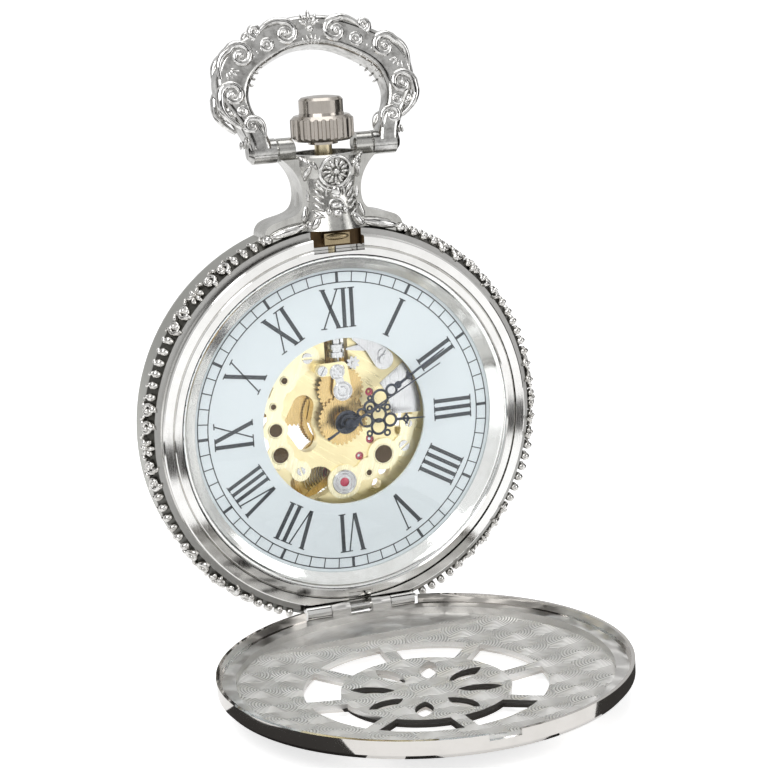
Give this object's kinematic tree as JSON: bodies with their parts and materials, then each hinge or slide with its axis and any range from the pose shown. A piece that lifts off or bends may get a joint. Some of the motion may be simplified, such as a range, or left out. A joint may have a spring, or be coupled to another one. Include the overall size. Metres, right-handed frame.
{
  "type": "pocket watch",
  "caption": "Hunter-case pocket watch with a pierced front lid held open on its hinge, roman dial with a window on the movement, crown, pendant and swinging bow.",
  "frame": {"origin": "centre of the flat back crystal, on its outer face", "axes": "+Z towards 12 o'clock and the crown, +Y out of the back, the dial looks along -Y, +X towards 3 o'clock"},
  "size_m": [0.047, 0.0558, 0.072],
  "materials": {
    "case_silver": "bright polished silver-tone plate",
    "crown_nickel": "warm darker nickel, polished",
    "crystal_glass": "clear domed mineral crystal",
    "dial_white": "pale bluish white enamel with dark print",
    "hand_dark": "dark slate blued steel",
    "plate_gold": "brushed pale gilt brass",
    "steel": "ground grey steel",
    "ruby": "polished synthetic ruby",
    "spring_brass": "hard rolled brass spring leaf"
  },
  "bodies": {
    "watch": {"back_cover": "case_silver", "back_crystal": "crystal_glass", "balance_cock": "plate_gold", "balance_jewels": "ruby", "barrel_bridge": "plate_gold", "bezel": "case_silver", "bow_pins": "case_silver", "case_middle": "case_silver", "centre_bush": "plate_gold", "click_spring": "steel", "crystal": "crystal_glass", "dial": "dial_white", "dial_side_posts": "steel", "fly_spring": "spring_brass", "hairspring": "steel", "hinge_pin": "steel", "lock_spring": "spring_brass", "main_plate": "plate_gold", "minute_bridge": "plate_gold", "movement_ring": "plate_gold", "movement_screws": "steel", "pallet_bridge": "plate_gold", "pendant": "case_silver", "ring_screws": "steel", "setting_cover": "steel", "train_bridge": "plate_gold", "train_jewels": "ruby"},
    "lid": {"front_lid": "case_silver"},
    "latch": {"lid_latch": "spring_brass"},
    "bow_ring": {"bow": "case_silver"},
    "sleeve": {"stem_sleeve": "spring_brass"},
    "collar": {"push_collar": "spring_brass"},
    "crown_stem": {"crown": "crown_nickel", "winding_stem": "steel"},
    "clutch": {"sliding_clutch": "steel"},
    "pinion": {"winding_pinion": "steel"},
    "lever": {"setting_lever": "steel"},
    "yoke_arm": {"yoke": "steel"},
    "crown_gear": {"crown_wheel": "steel"},
    "ratchet": {"ratchet_wheel": "steel", "barrel_arbor": "steel"},
    "click_arm": {"click": "steel"},
    "barrel": {"mainspring_barrel": "plate_gold", "mainspring": "steel"},
    "centre": {"centre_wheel": "plate_gold", "cannon_pinion": "steel", "minute_hand": "hand_dark"},
    "third": {"third_wheel": "plate_gold"},
    "fourth": {"fourth_wheel": "plate_gold", "second_hand": "hand_dark"},
    "escape": {"escape_wheel": "steel"},
    "minute_gear": {"minute_wheel": "steel"},
    "hour": {"hour_wheel": "plate_gold", "hour_hand": "hand_dark"},
    "setting_gear": {"setting_wheel": "steel"},
    "pallet": {"pallet_fork": "steel"},
    "balance": {"balance_wheel": "plate_gold"}
  },
  "joints": [
    {"name": "lid_hinge", "type": "hinge", "parent": "watch", "child": "lid", "pos_m": [0, -0.01153, -0.02193], "axis": [1, 0, 0], "range_deg": [-90, 0], "stiffness_Nm_per_rad": 0.006, "springref_deg": 68.75},
    {"name": "bow_hinge", "type": "hinge", "parent": "watch", "child": "bow_ring", "pos_m": [0, -0.0081, 0.0316], "axis": [1, 0, 0], "range_deg": [-73, 107]},
    {"name": "crown_push", "type": "slide", "parent": "watch", "child": "sleeve", "axis": [0, 0, 1], "range_m": [-0.001, 0], "stiffness_N_per_m": 400, "springref_m": 0.001},
    {"name": "latch_slide", "type": "slide", "parent": "watch", "child": "latch", "axis": [0, 0, 1], "range_m": [-0.0008, 0]},
    {"name": "stem_pull", "type": "slide", "parent": "sleeve", "child": "collar", "axis": [0, 0, 1], "range_m": [0, 0.0008]},
    {"name": "stem_spin", "type": "hinge", "parent": "collar", "child": "crown_stem", "pos_m": [0, -0.0081, 0.03], "axis": [0, 0, 1], "continuous": true},
    {"name": "winding_pinion_spin", "type": "hinge", "parent": "watch", "child": "pinion", "pos_m": [0, -0.0081, 0.0103], "axis": [0, 0, 1], "continuous": true},
    {"name": "clutch_slide", "type": "slide", "parent": "crown_stem", "child": "clutch", "axis": [0, 0, 1], "range_m": [-0.0016, 0]},
    {"name": "setting_lever_turn", "type": "hinge", "parent": "watch", "child": "lever", "pos_m": [-0.0036, -0.0083, 0.0119], "axis": [0, 1, 0], "range_deg": [-17, 0]},
    {"name": "yoke_turn", "type": "hinge", "parent": "watch", "child": "yoke_arm", "pos_m": [0.0037, -0.0083, 0.00815], "axis": [0, 1, 0], "range_deg": [-19, 0]},
    {"name": "crown_wheel_spin", "type": "hinge", "parent": "watch", "child": "crown_gear", "pos_m": [0, -0.003, 0.0127], "axis": [0, 1, 0], "continuous": true},
    {"name": "ratchet_spin", "type": "hinge", "parent": "watch", "child": "ratchet", "pos_m": [-0.0045, -0.003, 0.0052], "axis": [0, 1, 0], "continuous": true},
    {"name": "click_turn", "type": "hinge", "parent": "watch", "child": "click_arm", "pos_m": [-0.0103, -0.003, 0.00855], "axis": [0, 1, 0], "range_deg": [-10, 0], "stiffness_Nm_per_rad": 0.0002, "springref_deg": 28.65},
    {"name": "fourth_spin", "type": "hinge", "parent": "watch", "child": "fourth", "pos_m": [0, -0.005, 0], "axis": [0, 1, 0], "continuous": true},
    {"name": "third_spin", "type": "hinge", "parent": "watch", "child": "third", "pos_m": [0.00375, -0.005, 0.0027], "axis": [0, 1, 0], "continuous": true},
    {"name": "centre_spin", "type": "hinge", "parent": "watch", "child": "centre", "pos_m": [0, -0.005, 0], "axis": [0, 1, 0], "continuous": true},
    {"name": "barrel_spin", "type": "hinge", "parent": "watch", "child": "barrel", "pos_m": [-0.0045, -0.005, 0.0052], "axis": [0, 1, 0], "continuous": true},
    {"name": "escape_spin", "type": "hinge", "parent": "watch", "child": "escape", "pos_m": [0.00353, -0.005, -0.00298], "axis": [0, 1, 0], "continuous": true},
    {"name": "minute_wheel_spin", "type": "hinge", "parent": "watch", "child": "minute_gear", "pos_m": [0, -0.009, 0.0036], "axis": [0, 1, 0], "continuous": true},
    {"name": "hour_spin", "type": "hinge", "parent": "watch", "child": "hour", "pos_m": [0, -0.009, 0], "axis": [0, 1, 0], "continuous": true},
    {"name": "setting_wheel_spin", "type": "hinge", "parent": "watch", "child": "setting_gear", "pos_m": [0.00171, -0.009, 0.00656], "axis": [0, 1, 0], "continuous": true},
    {"name": "pallet_swing", "type": "hinge", "parent": "watch", "child": "pallet", "pos_m": [0.0021, -0.0056, -0.0048], "axis": [0, 1, 0], "range_deg": [-5, 5]},
    {"name": "balance_swing", "type": "hinge", "parent": "watch", "child": "balance", "pos_m": [0, -0.004, -0.0076], "axis": [0, 1, 0], "range_deg": [-150, 150], "stiffness_Nm_per_rad": 0.000001, "deforming": ["hairspring"]}
  ],
  "couplings": [
    {"joint": "latch_slide", "follows": "crown_push", "ratio": 0.8},
    {"joint": "clutch_slide", "follows": "stem_pull", "ratio": -2},
    {"joint": "setting_lever_turn", "follows": "stem_pull", "rad_per_m": -368.7},
    {"joint": "yoke_turn", "follows": "stem_pull", "rad_per_m": -412.33},
    {"joint": "winding_pinion_spin", "follows": "stem_spin", "ratio": 1},
    {"joint": "crown_wheel_spin", "follows": "stem_spin", "ratio": 0.54167},
    {"joint": "ratchet_spin", "follows": "stem_spin", "ratio": -0.3125},
    {"joint": "third_spin", "follows": "fourth_spin", "ratio": -0.125},
    {"joint": "centre_spin", "follows": "fourth_spin", "ratio": 0.016667},
    {"joint": "barrel_spin", "follows": "fourth_spin", "ratio": -0.0027778},
    {"joint": "escape_spin", "follows": "fourth_spin", "ratio": -10},
    {"joint": "minute_wheel_spin", "follows": "fourth_spin", "ratio": -0.0055556},
    {"joint": "hour_spin", "follows": "fourth_spin", "ratio": 0.0013889},
    {"joint": "setting_wheel_spin", "follows": "fourth_spin", "ratio": 0.020833}
  ]
}
